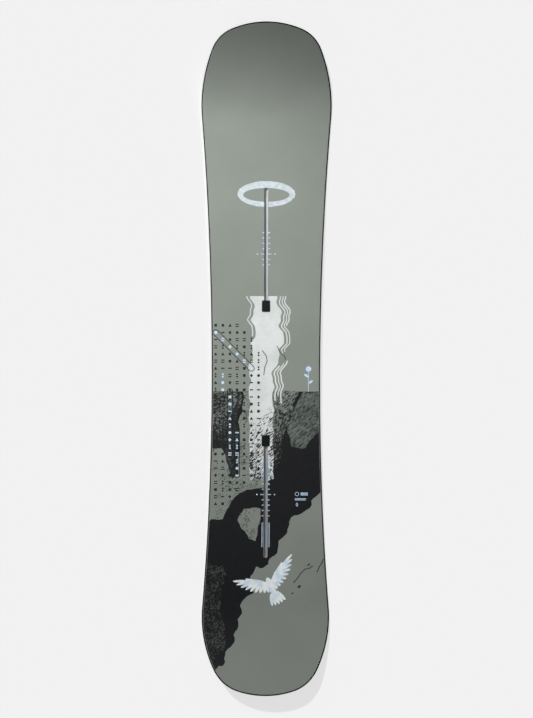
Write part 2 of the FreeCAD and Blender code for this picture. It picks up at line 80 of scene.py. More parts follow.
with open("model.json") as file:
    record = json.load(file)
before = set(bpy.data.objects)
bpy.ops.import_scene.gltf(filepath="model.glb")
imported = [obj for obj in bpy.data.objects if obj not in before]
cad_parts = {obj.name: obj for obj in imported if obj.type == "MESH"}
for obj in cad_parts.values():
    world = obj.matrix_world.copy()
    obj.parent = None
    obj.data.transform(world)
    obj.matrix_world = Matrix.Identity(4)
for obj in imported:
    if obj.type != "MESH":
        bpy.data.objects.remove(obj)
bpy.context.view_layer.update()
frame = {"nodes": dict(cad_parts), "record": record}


# -------------------------------------------- the board's shape


def heading(start, end):
    """The direction from one point to another, in radians."""
    return math.atan2(end[1] - start[1], end[0] - start[0])


def outer_meeting(first, first_radius, second, second_radius):
    """Where two circles cross, taking the crossing further to the right."""
    across, along = second[0] - first[0], second[1] - first[1]
    apart = math.hypot(across, along)
    near = (apart**2 + first_radius**2 - second_radius**2) / (2 * apart)
    aside = math.sqrt(first_radius**2 - near**2)
    foot = (first[0] + near * across / apart, first[1] + near * along / apart)
    step = (-aside * along / apart, aside * across / apart)
    return max((foot[0] + step[0], foot[1] + step[1]), (foot[0] - step[0], foot[1] - step[1]))


def toe_side_arcs():
    """The toe side's outline as (centre, radius, outward, from, to), from nose to tail.

    outward is 1 for an arc that bulges out and -1 for the sidecut, which is hollow.
    """
    by_end = {}
    for end, form in ENDS.items():
        tip_centre = (0.0, form["sign"] * (LENGTH / 2 - form["tip"]))
        flank_centre = (form["width"] / 2 - form["flank"], form["wide_place"])
        corner_centre = outer_meeting(
            tip_centre, form["tip"] - form["corner"], flank_centre, form["flank"] - form["corner"]
        )
        narrowing = (form["width"] - WAIST_WIDTH) / 2
        rise = abs(form["wide_place"] - WAIST_PLACE)
        sidecut = (narrowing**2 + rise**2) / (2 * narrowing) - form["flank"]
        sidecut_centre = (WAIST_WIDTH / 2 + sidecut, WAIST_PLACE)
        to_tip = heading(tip_centre, corner_centre)
        to_flank = heading(flank_centre, corner_centre)
        to_sidecut = heading(flank_centre, sidecut_centre)
        by_end[end] = [
            (tip_centre, form["tip"], 1, form["sign"] * math.pi / 2, to_tip),
            (corner_centre, form["corner"], 1, to_tip, to_flank),
            (flank_centre, form["flank"], 1, to_flank, to_sidecut),
            (sidecut_centre, sidecut, -1, to_sidecut + math.pi, math.pi),
        ]
    tail = [(c, r, o, end, start) for c, r, o, start, end in reversed(by_end["tail"])]
    return by_end["nose"] + tail


TOE_SIDE = toe_side_arcs()
ARC_STEP = 5.0


def toe_side_points(inset, high=LENGTH, low=-LENGTH):
    """Points down the toe side between two places, set in from the outline.

    The same two places give the same number of points at every inset.
    """
    points = []
    for centre, radius, outward, start, end in TOE_SIDE:
        spans = []
        for r in (radius, radius - outward * inset):
            sines = [(place - centre[1]) / r for place in (high, low)]
            limits = [math.asin(min(max(s, -1.0), 1.0)) for s in sines]
            if outward < 0:
                limits = [math.pi - limit for limit in limits]
            first, last = min(limits), max(limits)
            spans.append([min(max(angle, first), last) for angle in (start, end)])
        arc_length = abs(spans[0][1] - spans[0][0]) * radius
        if arc_length < TINY:
            continue
        count = max(2, math.ceil(arc_length / ARC_STEP))
        r = radius - outward * inset
        for step in range(count + 1):
            angle = spans[1][0] + (spans[1][1] - spans[1][0]) * step / count
            point = (centre[0] + r * math.cos(angle), centre[1] + r * math.sin(angle))
            if not points or math.dist(point, points[-1]) > TINY:
                points.append(point)
    return points


def mirrored(points):
    """The same points on the heel side, in reverse order."""
    return [(-x, y) for x, y in reversed(points)]


def outline_loop(inset):
    """The whole outline, set in, clockwise from the nose tip."""
    toe = toe_side_points(inset)
    return toe + mirrored(toe)[1:-1]


def kick_radius(end):
    """The radius of a kicked end, from how far it runs and how high it lifts the tip."""
    run = LENGTH / 2 - CONTACT_OUTER
    lift = ENDS[end]["lift"]
    return (run**2 + lift**2) / (2 * lift)


def ground_height(place):
    """The height of the base at a place along the board."""
    far = abs(place)
    slope = 2 * math.atan(CAMBER_HEIGHT / CONTACT_INNER)
    if far < CAMBER_HALF:
        arch = CAMBER_HALF / math.sin(slope)
        return CAMBER_HEIGHT - arch + math.sqrt(arch**2 - far**2)
    if far < CONTACT_INNER:
        landing = (CONTACT_INNER - CAMBER_HALF) / math.sin(slope)
        return landing - math.sqrt(landing**2 - (CONTACT_INNER - far) ** 2)
    if far < CONTACT_OUTER:
        return 0.0
    kick = kick_radius("nose" if place > 0 else "tail")
    return kick - math.sqrt(kick**2 - (far - CONTACT_OUTER) ** 2)


def deck_height(place):
    """The height of the topsheet's face at a place along the board."""
    share = (abs(place - STANCE_PLACE) - TAPER_START) / (TAPER_END - TAPER_START)
    share = min(max(share, 0.0), 1.0)
    taper = (THICK_MIDDLE - THICK_TIP) * share**2 * (3 - 2 * share)
    return ground_height(place) + THICK_MIDDLE - taper


def over_base(rise):
    """A level that stays a set rise above the base."""
    return lambda place: ground_height(place) + rise


def under_deck(drop):
    """A level that stays a set drop below the topsheet's face."""
    return lambda place: deck_height(place) - drop


# -------------------------------------------- plates cut to a plan

ACROSS_STEP = 8.0
PLAN_EPSILON = 1e-5
ALL_TRIANGLES = 0
CORNER_STEPS = 6


def rounded_plan(half_wide, low, high, corner):
    """A rectangle with round corners, centred across the board."""
    centres = [(half_wide - corner, high - corner), (corner - half_wide, high - corner),
               (corner - half_wide, low + corner), (half_wide - corner, low + corner)]
    points = []
    for quarter, (x, y) in enumerate(centres):
        for step in range(CORNER_STEPS + 1):
            angle = math.pi / 2 * (quarter + step / CORNER_STEPS)
            points.append((x + corner * math.cos(angle), y + corner * math.sin(angle)))
    return points


def filled(outer, holes, shapes):
    """Triangles that fill a plan outline round its holes, split along printed shapes.

    shapes is a list of (ink number, points), each printed over those before it.  Lines
    across the board keep the triangles short enough to follow its curve.
    """
    faces, inks, points = [], [], []
    for ink, loop in [(None, outer)] + [("hole", hole) for hole in holes] + shapes:
        faces.append(list(range(len(points), len(points) + len(loop))))
        points.extend(loop if winding(loop) > 0 else loop[::-1])
        inks.append(ink)
    edges = []
    half = ENDS["nose"]["width"] / 2
    low, high = min(y for _, y in outer), max(y for _, y in outer)
    for number in range(1, math.ceil((high - low) / ACROSS_STEP)):
        y = low + number * ACROSS_STEP
        if y < high:
            edges.append((len(points), len(points) + 1))
            points.extend([(-half, y), (half, y)])
    corners, _, triangles, _, _, sources = delaunay_2d_cdt(
        [Vector(p) for p in points], edges, faces, ALL_TRIANGLES, PLAN_EPSILON
    )
    kept = []
    for triangle, within in zip(triangles, sources):
        if 0 not in within or any(inks[s] == "hole" for s in within):
            continue
        top = max(within)
        kept.append((list(triangle), inks[top] or 0))
    return [tuple(c) for c in corners], kept


def plate(name, materials, outer_levels, hole_levels=(), shapes=()):
    """A closed piece whose rim goes up through the given (plan loop, level) pairs.

    The first level's loops bound its underside and the last's bound its face.
    """
    vertices, faces, inks = [], [], []

    def add_ring(loop, level):
        start = len(vertices)
        vertices.extend((x, y, level(y)) for x, y in loop)
        return start

    for levels, facing in [(outer_levels, 1)] + [(levels, -1) for levels in hole_levels]:
        turn = facing * winding(levels[0][0])
        starts = [add_ring(loop, level) for loop, level in levels]
        count = len(levels[0][0])
        for below, above in zip(starts, starts[1:]):
            for here in range(count):
                after = (here + 1) % count
                quad = [below + here, below + after, above + after, above + here]
                faces.append(quad if turn > 0 else quad[::-1])
                inks.append(0)
    for last, upward in ((-1, True), (0, False)):
        level = outer_levels[last][1]
        holes = [levels[last][0] for levels in hole_levels]
        corners, triangles = filled(outer_levels[last][0], holes, list(shapes) if upward else [])
        start = len(vertices)
        vertices.extend((x, y, level(y)) for x, y in corners)
        for triangle, ink in triangles:
            a, b, c = (corners[i] for i in triangle)
            area = (b[0] - a[0]) * (c[1] - a[1]) - (c[0] - a[0]) * (b[1] - a[1])
            face = [start + i for i in triangle]
            faces.append(face if (area > 0) == upward else face[::-1])
            inks.append(ink)
    return mesh_piece(name, materials, vertices, faces, inks)


def winding(loop):
    """1 for an anticlockwise loop and -1 for a clockwise one."""
    area = sum(a[0] * b[1] - b[0] * a[1] for a, b in zip(loop, loop[1:] + loop[:1]))
    return 1 if area > 0 else -1


WELD_MM = 0.002
SMOOTH_ANGLE = math.radians(50)


def add_object(name, data):
    """A new object in the scene."""
    made = bpy.data.objects.new(name, data)
    bpy.context.scene.collection.objects.link(made)
    return made


def mesh_piece(name, materials, vertices, faces, inks):
    """A welded, smooth-shaded object, in metres, from millimetre vertices."""
    mesh = bpy.data.meshes.new(name)
    mesh.from_pydata([Vector(v) * METRE for v in vertices], [], faces)
    mesh.polygons.foreach_set("material_index", inks)
    work = bmesh.new()
    work.from_mesh(mesh)
    bmesh.ops.delete(work, geom=[v for v in work.verts if not v.link_faces], context="VERTS")
    bmesh.ops.remove_doubles(work, verts=work.verts, dist=WELD_MM * METRE)
    work.to_mesh(mesh)
    work.free()
    mesh.shade_smooth()
    mesh.set_sharp_from_angle(angle=SMOOTH_ANGLE)
    for material in materials:
        mesh.materials.append(material)
    piece = add_object(name, mesh)
    return piece


# -------------------------------------------- plans of the pieces

SLOT_END_STEPS = 12


def from_stance(channel, distance):
    """A place along the board, so far out from the stance centre towards one foot."""
    return STANCE_PLACE + CHANNELS[channel] * distance


def quarter_arc(x, y, radius, start, steps):
    """The points of a quarter of a circle, anticlockwise from a start angle."""
    angles = [start + math.pi / 2 * step / steps for step in range(steps + 1)]
    return [(x + radius * math.cos(angle), y + radius * math.sin(angle)) for angle in angles]


def opening_plan(channel):
    """The slot and the plug's opening as one plan."""
    corner_x = PLUG_OPENING_WIDE / 2 - PLUG_CORNER
    toe = quarter_arc(corner_x, PLUG_CORNER, PLUG_CORNER, -math.pi / 2, CORNER_STEPS)
    toe += quarter_arc(corner_x, PLUG_OPENING_LONG - PLUG_CORNER, PLUG_CORNER, 0.0, CORNER_STEPS)
    toe.append((SLOT_HALF, PLUG_OPENING_LONG))
    end = CHANNEL_OUTER - CHANNEL_INNER - SLOT_HALF
    toe += quarter_arc(0.0, end, SLOT_HALF, 0.0, SLOT_END_STEPS)[:-1]
    toe.append((0.0, end + SLOT_HALF))
    loop = toe + mirrored(toe)[1:]
    return [(x, from_stance(channel, CHANNEL_INNER + out)) for x, out in loop]


def grown(loop, gap):
    """A plan loop with each point moved outwards by a gap."""
    turn = winding(loop)
    moved = []
    for before, here, after in zip(loop[-1:] + loop[:-1], loop, loop[1:] + loop[:1]):
        normals = []
        for a, b in ((before, here), (here, after)):
            apart = math.dist(a, b)
            normals.append((turn * (b[1] - a[1]) / apart, -turn * (b[0] - a[0]) / apart))
        x, y = normals[0][0] + normals[1][0], normals[0][1] + normals[1][1]
        share = 2 * gap / (x * x + y * y)
        moved.append((here[0] + x * share, here[1] + y * share))
    return moved


def sidewall_plan(side, inset):
    """The plan of one sidewall, whose outer side is set in from the outline."""
    limits = (SIDEWALL_NOSE_END, SIDEWALL_TAIL_END)
    loop = toe_side_points(inset, *limits) + toe_side_points(SIDEWALL_WIDE, *limits)[::-1]
    return loop if side == "toe" else mirrored(loop)


def spacer_plan(end, inset):
    """The plan of a tip's spacer: the whole tip, and two arms round the core's end."""
    if end == "nose":
        outer = toe_side_points(inset, LENGTH, SIDEWALL_NOSE_END)
        inner = toe_side_points(SIDEWALL_WIDE, CORE_NOSE_END, SIDEWALL_NOSE_END)[::-1]
        half = outer + inner
    else:
        inner = toe_side_points(SIDEWALL_WIDE, SIDEWALL_TAIL_END, CORE_TAIL_END)[::-1]
        half = inner + toe_side_points(inset, SIDEWALL_TAIL_END, -LENGTH)
    whole = half + mirrored(half)
    return [p for i, p in enumerate(whole) if math.dist(p, whole[i - 1]) > TINY]


# -------------------------------------------- materials

# Smooth noise stays mostly within these spans.  The narrow one gives a firmer pattern.
WIDE_SPAN = (0.3, 0.7)
NARROW_SPAN = (0.35, 0.65)


def ink(red, green, blue):
    """A colour given as screen values from 0 to 255, as the linear colour of a node."""
    linear = []
    for value in (red, green, blue):
        share = value / 255
        linear.append(share / 12.92 if share <= 0.04045 else ((share + 0.055) / 1.055) ** 2.4)
    return (*linear, 1.0)


class Finish:
    """A material with one Principled shader, and short ways to add nodes to it."""

    def __init__(self, name, roughness, **values):
        self.material = bpy.data.materials.new(name)
        self.material.use_nodes = True
        self.tree = self.material.node_tree
        self.shader = self.tree.nodes["Principled BSDF"]
        self.fill(self.shader, Roughness=roughness, **values)
        self.place = self.node("ShaderNodeTexCoord").outputs["Object"]

    def node(self, kind, **settings):
        """A new node with some of its properties set."""
        made = self.tree.nodes.new(kind)
        for setting, value in settings.items():
            setattr(made, setting, value)
        return made

    def feed(self, socket, value):
        """Sets a socket to a number or colour, or links it to another node's output."""
        if isinstance(value, bpy.types.NodeSocket):
            self.tree.links.new(value, socket)
        else:
            socket.default_value = value

    def fill(self, node, **values):
        """Feeds a node's named sockets, whose spaces are written as underscores."""
        for socket, value in values.items():
            self.feed(node.inputs[socket.replace("_", " ")], value)

    def math(self, operation, first, second=0.0, clamp=False):
        """One Math node."""
        made = self.node("ShaderNodeMath", operation=operation, use_clamp=clamp)
        self.feed(made.inputs[0], first)
        self.feed(made.inputs[1], second)
        return made.outputs[0]

    def noise(self, size, detail=3.0, rough=0.5, turn=0.0):
        """Smooth noise, about 0.5 on average, whose patterns have a size in millimetres.

        The size is one number, or one for each axis.  A turn slants the first two axes.
        """
        sizes = size if isinstance(size, tuple) else (size, size, size)
        scale = [each * METRE for each in sizes]
        mapped = self.node("ShaderNodeMapping", vector_type="TEXTURE")
        self.fill(mapped, Vector=self.place, Rotation=(0.0, 0.0, turn), Scale=scale)
        made = self.node("ShaderNodeTexNoise")
        self.fill(made, Vector=mapped.outputs["Vector"], Scale=1.0, Detail=detail, Roughness=rough)
        return made.outputs["Fac"]

    def along(self, direction, start, end):
        """A share that goes from 0 to 1 between two distances, in mm, along a direction."""
        reach = self.node("ShaderNodeVectorMath", operation="DOT_PRODUCT")
        self.feed(reach.inputs[0], self.place)
        self.feed(reach.inputs[1], direction)
        return self.stretch_range(reach.outputs["Value"], start * METRE, end * METRE)

    def stretch_range(self, value, low, high, to_low=0.0, to_high=1.0):
        """The value carried from one range to another, and held within it."""
        made = self.node("ShaderNodeMapRange", interpolation_type="SMOOTHSTEP")
        self.fill(made, Value=value, From_Min=low, From_Max=high, To_Min=to_low, To_Max=to_high)
        return made.outputs["Result"]

    def mix(self, share, first, second):
        """One colour turning into another."""
        made = self.node("ShaderNodeMix", data_type="RGBA")
        self.fill(made, Factor=share, A=first, B=second)
        return made.outputs["Result"]

    def colour(self, value):
        """Colours the shader."""
        self.fill(self.shader, Base_Color=value)

    def tint(self, pattern, span, dark, light):
        """Colours the shader from a dark tone to a light one as a pattern crosses a span."""
        self.colour(self.mix(self.stretch_range(pattern, *span), ink(*dark), ink(*light)))

    def roughen(self, value, low, high):
        """Lets a pattern change the roughness between two values."""
        self.fill(self.shader, Roughness=self.stretch_range(value, *WIDE_SPAN, low, high))

    def bump(self, height, depth):
        """Relief from a pattern, with its depth in millimetres."""
        made = self.node("ShaderNodeBump")
        self.fill(made, Strength=1.0, Distance=depth * METRE, Height=height)
        self.fill(self.shader, Normal=made.outputs["Normal"])


def dress(name, material):
    """Puts a material on every slot of a CAD node."""
    node = frame["nodes"][name]
    for slot in node.material_slots:
        slot.link = "OBJECT"
        slot.material = material


# -------------------------------------------- printed inks

INK_ROUGH = 0.7
INK_SHINE = 0.25
SLANT = math.radians(45)
DECK_TONE = (115, 121, 114)
CHALK_WEAR = ((0.5, -0.85, 0.0), 10.0, 200.0)
CHALK_WEAR_DEPTH = 0.37
CHALK_GAP_EDGE = 16.0
GRAIN_SHARE = 0.75
FADE_DEPTH = 0.12
INKS = ["deck", "stone", "pale", "ring", "rock", "drift", "grain", "scored", "boulder",
        "mark", "blue", "line", "feather", "crack"]

# Dark tone, light tone, the grain's size in mm, where the light tone starts and is whole,
# and for some the direction and the two places, in mm, between which the grain dies out.
GRAINED_INKS = {
    "rock": ((8, 9, 12), (13, 14, 17), (14.0, 9.0, 9.0), (0.35, 0.65)),
    "drift": ((10, 12, 13), (62, 67, 64), (5.0, 3.2, 5.0), (0.46, 0.63)),
    "grain": ((12, 15, 16), (104, 110, 105), (6.0, 3.2, 5.0), (0.44, 0.6),
              ((0.0, -1.0, 0.0), 125.0, 205.0)),
    "scored": ((10, 13, 13), (118, 124, 119), (8.0, 1.7, 4.0), (0.42, 0.58),
               ((0.75, -0.66, 0.0), 90.0, 175.0)),
    "boulder": ((30, 34, 32), (94, 101, 95), (9.0, 1.6, 4.0), (0.4, 0.6)),
}

# Dark tone, light tone and the size of the unevenness in mm.
MOTTLED_INKS = {
    "ring": ((164, 174, 179), (182, 190, 194), 9.0),
    "mark": ((18, 23, 21), (26, 31, 29), 2.0),
    "blue": ((158, 181, 204), (184, 206, 226), 4.0),
    "line": ((9, 10, 11), (15, 16, 17), 3.0),
    "feather": ((186, 203, 217), (219, 223, 222), 13.0),
    "crack": ((34, 37, 34), (50, 54, 49), 5.0),
}


def printed(name):
    """A printed finish under the topsheet's satin lacquer."""
    made = Finish(f"print_{name}", INK_ROUGH, Specular_IOR_Level=INK_SHINE)
    made.bump(made.noise(0.7, detail=2.0), 0.02)
    return made


def deck_ink():
    """Satin grey-green with faint clouds and a fine pale fleck."""
    made = printed("deck")
    clouds = made.stretch_range(made.noise(140.0, detail=4.0), *WIDE_SPAN)
    flecks = made.stretch_range(made.noise(1.1, detail=1.0), 0.6, 0.72, 0.0, 0.12)
    tone = made.mix(clouds, ink(*DECK_TONE), ink(119, 125, 118))
    made.colour(made.mix(flecks, tone, ink(146, 151, 144)))
    return made.material


def stone_ink():
    """The deck's tone, with fine dark pits that crowd together in patches."""
    made = printed("stone")
    pits = made.noise((4.2, 3.0, 4.0), rough=0.7, turn=SLANT)
    patches = made.noise(26.0, detail=2.0)
    level = made.math("ADD", pits, made.math("MULTIPLY", patches, 0.5))
    made.tint(level, (0.56, 0.72), (44, 49, 46), DECK_TONE)
    return made.material


def pale_ink():
    """Chalky white that breaks up into slanted strokes towards the tail and the toe side."""
    made = printed("pale")
    wear = made.along(*CHALK_WEAR)
    strokes = made.noise((9.5, 2.0, 6.0), detail=2.0, turn=SLANT)
    patches = made.noise(40.0, detail=2.0)
    cover = made.math("ADD", strokes, made.math("MULTIPLY", patches, 0.35))
    limit = made.math("SUBTRACT", 1.0, made.math("MULTIPLY", wear, CHALK_WEAR_DEPTH))
    gaps = made.math("MULTIPLY", made.math("SUBTRACT", cover, limit), CHALK_GAP_EDGE, clamp=True)
    shade = made.stretch_range(made.noise(60.0, detail=5.0, rough=0.7), *NARROW_SPAN)
    chalk = made.mix(shade, ink(181, 185, 183), ink(194, 197, 196))
    made.colour(made.mix(gaps, chalk, ink(38, 42, 41)))
    return made.material


def grained_ink(name, dark, light, size, cover, fade=None):
    """Stone whose light grain lies along one slant, and may die out on one side."""
    made = printed(name)
    grain = made.noise(size, rough=0.55, turn=SLANT)
    patches = made.noise(30.0, detail=2.0)
    level = made.math("ADD", made.math("MULTIPLY", grain, GRAIN_SHARE),
                      made.math("MULTIPLY", patches, 1 - GRAIN_SHARE))
    if fade:
        faded = made.math("MULTIPLY", made.along(*fade), FADE_DEPTH)
        level = made.math("SUBTRACT", level, faded)
    made.tint(level, cover, dark, light)
    return made.material


def mottled_ink(name, dark, light, size):
    """An ink with a slightly uneven cover."""
    made = printed(name)
    made.tint(made.noise(size), NARROW_SPAN, dark, light)
    return made.material


def topsheet_inks():
    """The topsheet's materials, in the order of INKS."""
    makers = {"deck": deck_ink, "stone": stone_ink, "pale": pale_ink}
    for name in INKS:
        if name in makers:
            yield makers[name]()
        elif name in GRAINED_INKS:
            yield grained_ink(name, *GRAINED_INKS[name])
        else:
            yield mottled_ink(name, *MOTTLED_INKS[name])


# -------------------------------------------- printed shapes

# A place across the board, just past the topsheet's edge.
PAST_EDGE = 150

# A rough path's stretches stay whole under the first length and bend fully over the second.
SHORTEST_BREAK = 4.0
FULL_BREAK = 60.0


def knotted(knots, place):
    """A value between knots given as (place, value), in falling order of place."""
    for (high, first), (low, second) in zip(knots, knots[1:]):
        if place >= low:
            share = min(max((high - place) / (high - low), 0.0), 1.0)
            return first + (second - first) * share
    return knots[-1][1]


def roughened(points, size, rng, rounds=4, closed=True):
    """A path whose stretches are broken up by shorter and shorter random steps."""
    for _ in range(rounds):
        ends = points[1:] + points[:1] if closed else points[1:]
        finer = []
        for a, b in zip(points, ends):
            apart = math.dist(a, b)
            finer.append(a)
            if apart > SHORTEST_BREAK:
                aside = rng.uniform(-1, 1) * size * min(apart / FULL_BREAK, 1.0)
                middle = ((a[0] + b[0]) / 2, (a[1] + b[1]) / 2)
                finer.append((middle[0] - (b[1] - a[1]) / apart * aside,
                              middle[1] + (b[0] - a[0]) / apart * aside))
        points = finer if closed else finer + [points[-1]]
    return points


def stroke(points, width, closed=False):
    """A path of a given width, as one closed plan for each of its runs."""
    count = len(points)
    sides = []
    for i, here in enumerate(points):
        before = points[i - 1] if i or closed else here
        after = points[(i + 1) % count] if i < count - 1 or closed else here
        along = (after[0] - before[0], after[1] - before[1])
        long = math.hypot(*along)
        aside = (-along[1] / long * width / 2, along[0] / long * width / 2)
        left = (here[0] + aside[0], here[1] + aside[1])
        right = (here[0] - aside[0], here[1] - aside[1])
        sides.append((left, right))
    runs = zip(sides, sides[1:] + sides[:1] if closed else sides[1:])
    return [[start[0], start[1], end[1], end[0]] for start, end in runs]


def ellipse(x, y, half_long, half_wide, turn=0.0, steps=20):
    """An ellipse's outline."""
    loop = []
    for step in range(steps):
        angle = 2 * math.pi * step / steps
        u, v = half_long * math.cos(angle), half_wide * math.sin(angle)
        loop.append((x + u * math.cos(turn) - v * math.sin(turn),
                     y + u * math.sin(turn) + v * math.cos(turn)))
    return loop


def bar(x, y, half_wide, half_tall):
    """A plain rectangle."""
    return [(x - half_wide, y - half_tall), (x + half_wide, y - half_tall),
            (x + half_wide, y + half_tall), (x - half_wide, y + half_tall)]


# An oval's place along the board, its half width and its half length.
RING_OUTER = (387.0, 67.0, 30.0)
RING_INNER = (385.0, 54.0, 16.0)
RING_STEPS = 96
BRUSH_WANDER = 0.012


def ring_shapes(rng):
    """A plain flat oval, brushed round the front channel's outer end."""
    def brushed(place, half_wide, half_long):
        loop = []
        for step in range(RING_STEPS):
            angle = 2 * math.pi * step / RING_STEPS
            swell = 1 + rng.uniform(-BRUSH_WANDER, BRUSH_WANDER)
            x, y = half_wide * math.cos(angle) * swell, half_long * math.sin(angle) * swell
            loop.append((x, place + y))
        return loop

    return [("ring", brushed(*RING_OUTER)), ("deck", brushed(*RING_INNER))]


BAND_TOP = 150.0
BAND_BOTTOM = -276.0
BAND_HEEL_EDGE = [(150, -33), (60, -27), (-20, -38), (-276, -38)]
BAND_TOE_EDGE = [(150, 27), (40, 40), (-30, 16), (-276, 18)]
BAND_STEP = 3.0
BAND_TEETH = 10
BAND_FRAY = (-6, 8)
HEEL_PHASE = 0.4
TOE_PHASE = 1.9

# The ripples' height, length and share of the phase, and where they calm down.
RIPPLES = [(5.5, 9.0, 1.0), (2.0, 4.1, 2.3)]
CALM_PLACE = -260.0
CALM_RUN = 330.0
CALM_LEAST = 0.2

# The edge that an echo follows, its phase, how far it lies beside the edge, its width, and
# its first and last steps down the band.
BAND_ECHOES = [
    (BAND_TOE_EDGE, 1.9, 7.0, 2.6, 0, 46),
    (BAND_TOE_EDGE, 1.8, 13.5, 2.2, 0, 44),
    (BAND_TOE_EDGE, 1.7, 19.5, 2.6, 0, 24),
    (BAND_HEEL_EDGE, 0.3, -7.0, 2.4, 0, 32),
    (BAND_TOE_EDGE, 1.9, 6.5, 3.4, 54, 82),
    (BAND_TOE_EDGE, 1.8, 13.5, 2.2, 52, 78),
    (BAND_TOE_EDGE, 1.6, 20.0, 3.0, 50, 84),
]
BAND_FOLDS = [
    [(-9, 24), (0, 12), (3, 0), (-3, -16), (-5, -34)],
    [(26, 34), (31, 22), (42, 12), (46, 2)],
]
FOLD_WIDTH = 1.8


def zigzag(angle):
    """Like a sine, but in straight stretches with sharp turns."""
    return 2 / math.pi * math.asin(math.sin(angle))


def band_edge(knots, place, phase):
    """How far across one edge of the band lies, with ripples that calm towards the tail."""
    calm = min(max((place - CALM_PLACE) / CALM_RUN, CALM_LEAST), 1.0)
    ripple = sum(high * zigzag(place / long + share * phase) for high, long, share in RIPPLES)
    return knotted(knots, place) + calm * ripple


def band_shapes(rng):
    """A pale wavering band between the channels, with echoes of its edges beside it."""
    count = round((BAND_TOP - BAND_BOTTOM) / BAND_STEP)
    places = [BAND_TOP - BAND_STEP * step for step in range(count + 1)]
    heel = [(band_edge(BAND_HEEL_EDGE, y, HEEL_PHASE), y) for y in places]
    toe = [(band_edge(BAND_TOE_EDGE, y, TOE_PHASE), y) for y in places]
    heel_end, toe_end = heel[-1][0], toe[-1][0]
    frayed = []
    for tooth in range(1, BAND_TEETH):
        x = heel_end + (toe_end - heel_end) * tooth / BAND_TEETH
        frayed.append((x, BAND_BOTTOM - rng.uniform(*BAND_FRAY)))
    shapes = [("pale", heel + frayed + toe[::-1])]
    for knots, phase, aside, width, first, last in BAND_ECHOES:
        line = [(band_edge(knots, y, phase) + aside, y) for y in places[first:last]]
        shapes.extend(("pale", quad) for quad in stroke(line, width))
    for fold in BAND_FOLDS:
        shapes.extend(("crack", quad) for quad in stroke(fold, FOLD_WIDTH))
    return shapes


ROCK_TOP = -71.7
ROCK_ROUGH = 14.0
ROCK_EDGE = [(PAST_EDGE, -284), (60, -366), (26, -452), (-22, -482), (-60, -600), (-98, -710),
             (-PAST_EDGE, -762)]

# The stone in the rock: its ink, how rough its outline is, and the outline's corners.
FIELDS = [
    ("grain", 8.0, [(-PAST_EDGE, -72), (-57, -72), (-96, -204), (-PAST_EDGE, -198)]),
    ("drift", 6.0, [(-66, -72), (-56, -72), (-70, -140), (-84, -190), (-94, -186)]),
    ("stone", 8.0, [(-53, -72), (-60, -186), (-66, -260), (-104, -203), (-PAST_EDGE, -195),
                    (-PAST_EDGE, -382), (-100, -370), (-70, -316), (10, -290), (-10, -72)]),
    ("drift", 6.0, [(-92, -160), (-66, -150), (-64, -268), (-78, -276), (-95, -214)]),
    ("scored", 6.0, [(10, -72), (76, -72), (43, -165), (32, -240), (6, -282)]),
    ("boulder", 5.0, [(86, -72), (PAST_EDGE, -72), (PAST_EDGE, -128), (92, -204), (60, -200),
                      (50, -165)]),
    ("stone", 6.0, [(-12, -345), (-50, -345), (-66, -372), (-40, -415), (-24, -422), (-14, -380)]),
    ("drift", 9.0, [(-PAST_EDGE, -470), (-100, -480), (-108, -560), (-92, -660),
                    (-PAST_EDGE, -740)]),
]


def rock_shapes(rng):
    """A dark stone field from a straight edge behind the waist, with lighter stone in it."""
    edge = roughened(ROCK_EDGE, ROCK_ROUGH, rng, closed=False)
    shapes = [("rock", [(-PAST_EDGE, ROCK_TOP), (PAST_EDGE, ROCK_TOP)] + edge)]
    for tone, size, loop in FIELDS:
        shapes.append((tone, roughened(loop, size, rng)))
    return shapes


MARK_PITCH = 16.65
MARK_FIRST = (-117.0, 82.0)
MARKS_IN_ROW = [4, 5, 6, 6] + [7] * 17 + [6, 5, 4, 3, 2]
MARK_SCALE = 1.18
MARKS = {
    "dot": [ellipse(0.0, 0.0, 2.9, 2.9, steps=12)],
    "two dots": [ellipse(0.0, side * 2.4, 1.9, 1.9, steps=10) for side in (-1, 1)],
    "dash": [bar(0.0, 0.0, 3.4, 1.2)],
    "two dashes": [bar(0.0, side * 2.1, 3.2, 1.0) for side in (-1, 1)],
    "diamond": [[(0.0, -3.8), (3.0, 0.0), (0.0, 3.8), (-3.0, 0.0)]],
    "wedge": [[(-3.3, -2.8), (3.3, -2.8), (0.0, 3.5)]],
    "square": [bar(0.0, 0.0, 2.7, 2.7)],
}

# The marks picked out in blue, by column and row, and the loops drawn round their runs:
# the first and last place in the grid, and the loop's half width.
BRIGHT_MARKS = {(column, column + 1) for column in range(6)}
BRIGHT_MARKS |= {(1, row) for row in range(7, 10)} | {(2, row) for row in range(10, 19)}
BRIGHT_MARKS |= {(3, row) for row in range(15, 22)}
RUN_LOOPS = [((0, 1), (5, 6), 6.5), ((2, 9.2), (2, 18), 6.0), ((3, 14.6), (3, 21), 6.0)]
RUN_LINE = 1.7
RUN_END_STEPS = 10


def small_mark(kind, x, y):
    """One of the plain marks of the grid, as a list of closed plans."""
    return [[(x + MARK_SCALE * u, y + MARK_SCALE * v) for u, v in loop] for loop in MARKS[kind]]


def capsule(first, last, half):
    """A long rounded loop round a run of marks."""
    turn = heading(first, last)
    loop = []
    for centre, start in ((last, turn - math.pi / 2), (first, turn + math.pi / 2)):
        for step in range(RUN_END_STEPS + 1):
            angle = start + math.pi * step / RUN_END_STEPS
            loop.append((centre[0] + half * math.cos(angle), centre[1] + half * math.sin(angle)))
    return loop


